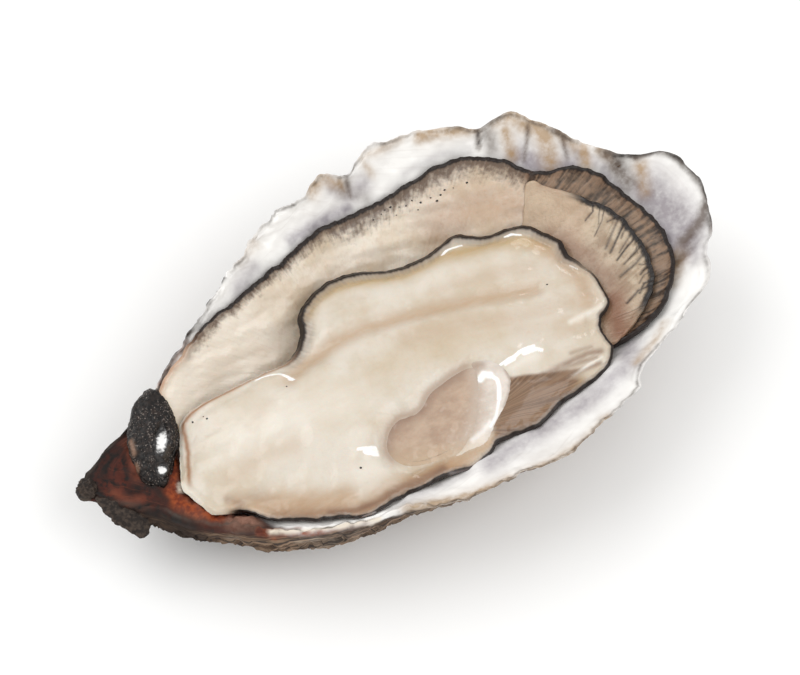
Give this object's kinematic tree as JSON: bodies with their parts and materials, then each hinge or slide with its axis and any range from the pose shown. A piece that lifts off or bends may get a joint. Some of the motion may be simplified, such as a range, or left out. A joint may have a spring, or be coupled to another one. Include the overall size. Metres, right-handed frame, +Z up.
{
  "type": "oyster on the half shell",
  "caption": "Raw oyster served in its cupped lower shell, with plump body, dark-edged mantle, pleated gills, muscle and hinge ligament.",
  "frame": {"origin": "on the resting surface, under the middle of the shell's outline", "axes": "+X from the hinge to the open lip, +Y across the shell to the flatter far side, +Z up out of the cup"},
  "size_m": [0.0987, 0.0551, 0.0215],
  "materials": {
    "shell": "pearly white inside with lavender-grey and tan stains, layered chalky grey-brown outside",
    "ligament": "wet, horny, near black",
    "mantle": "wet, soft, beige with a dark frilled edge",
    "gills": "wet, soft, tan with fine dark pleats",
    "body": "wet, soft, creamy beige with a dark wavy edge",
    "muscle": "wet, firm, translucent mauve-brown",
    "white_muscle": "wet, firm, opaque white"
  },
  "bodies": {
    "root": {"shell": "shell", "hinge_ligament": "ligament", "lower_mantle": "mantle", "gills": "gills", "body": "body", "adductor_muscle": "muscle", "catch_muscle": "white_muscle"}
  },
  "joints": []
}
